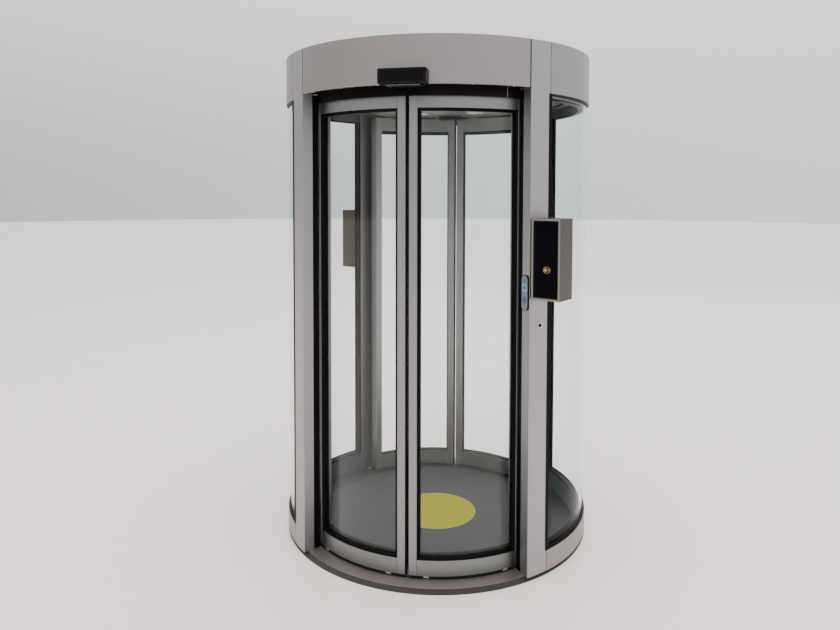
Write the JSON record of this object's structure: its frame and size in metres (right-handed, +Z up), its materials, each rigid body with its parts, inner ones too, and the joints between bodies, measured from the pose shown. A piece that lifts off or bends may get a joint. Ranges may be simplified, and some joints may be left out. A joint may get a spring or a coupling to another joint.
{
  "type": "mantrap security portal",
  "caption": "Round mantrap portal with curved glass side walls, a ring header, and bi-parting curved sliding glass doors at front and rear.",
  "frame": {"origin": "centre of the floor pan's underside", "axes": "+Z up, the front doorway faces -Y, +X to the right when looking at the front"},
  "size_m": [1.5, 1.608, 2.3],
  "materials": {
    "pan": "dark brown-grey satin sheet steel",
    "mat": "fine ribbed grey matting",
    "spot": "matt yellow floor marking",
    "post": "satin anodised",
    "cover": "satin anodised sheet",
    "leaf": "satin anodised extrusion",
    "leaf_glass": "clear laminated",
    "wall_glass": "clear curved laminated",
    "rubber": "black rubber profile",
    "dark_trim": "black powder coat with brush strip",
    "dark_steel": "dark grey powder coat",
    "ceiling": "satin light grey powder coat",
    "lamp": "opal diffuser",
    "sensor": "black infra-red plastic",
    "stainless": "brushed stainless sheet",
    "dark_glass": "black glass face",
    "key_metal": "plated lock cylinder",
    "plate": "bright anodised plate",
    "runner": "steel stem with light grey plastic wheels and guides"
  },
  "bodies": {
    "housing": {"floor_pan": "pan", "floor_mat": "mat", "floor_spot": "spot", "post_front_left": "post", "post_front_right": "post", "post_rear_left": "post", "post_rear_right": "post", "side_plinth_left": "cover", "side_plinth_right": "cover", "side_glass": "wall_glass", "side_gaskets": "rubber", "side_header_left": "cover", "side_header_right": "cover", "fascia_front": "cover", "fascia_rear": "cover", "transom_front": "dark_trim", "transom_rear": "dark_trim", "track_ring": "dark_steel", "roof_cover": "cover", "ceiling_panel": "ceiling", "ceiling_lights": "lamp", "overhead_sensor": "sensor", "header_sensors": "sensor", "jamb_seals": "rubber", "card_readers": "stainless", "reader_glasses": "dark_glass", "key_switches": "key_metal", "jamb_plates": "plate"},
    "leaf_front_left": {"leaf_frame_front_left": "leaf", "leaf_glass_front_left": "leaf_glass", "leaf_seals_front_left": "rubber", "leaf_runners_front_left": "runner"},
    "leaf_front_right": {"leaf_frame_front_right": "leaf", "leaf_glass_front_right": "leaf_glass", "leaf_seals_front_right": "rubber", "leaf_runners_front_right": "runner"},
    "leaf_rear_left": {"leaf_frame_rear_left": "leaf", "leaf_glass_rear_left": "leaf_glass", "leaf_seals_rear_left": "rubber", "leaf_runners_rear_left": "runner"},
    "leaf_rear_right": {"leaf_frame_rear_right": "leaf", "leaf_glass_rear_right": "leaf_glass", "leaf_seals_rear_right": "rubber", "leaf_runners_rear_right": "runner"}
  },
  "joints": [
    {"name": "slide_front_right", "type": "hinge", "parent": "housing", "child": "leaf_front_right", "pos_m": [0, 0, 0], "axis": [0, 0, 1], "range_deg": [0, 43]},
    {"name": "slide_front_left", "type": "hinge", "parent": "housing", "child": "leaf_front_left", "pos_m": [0, 0, 0], "axis": [0, 0, -1], "range_deg": [0, 43]},
    {"name": "slide_rear_right", "type": "hinge", "parent": "housing", "child": "leaf_rear_right", "pos_m": [0, 0, 0], "axis": [0, 0, -1], "range_deg": [0, 43]},
    {"name": "slide_rear_left", "type": "hinge", "parent": "housing", "child": "leaf_rear_left", "pos_m": [0, 0, 0], "axis": [0, 0, 1], "range_deg": [0, 43]}
  ],
  "couplings": [
    {"joint": "slide_front_left", "follows": "slide_front_right", "ratio": 1},
    {"joint": "slide_rear_left", "follows": "slide_rear_right", "ratio": 1}
  ]
}
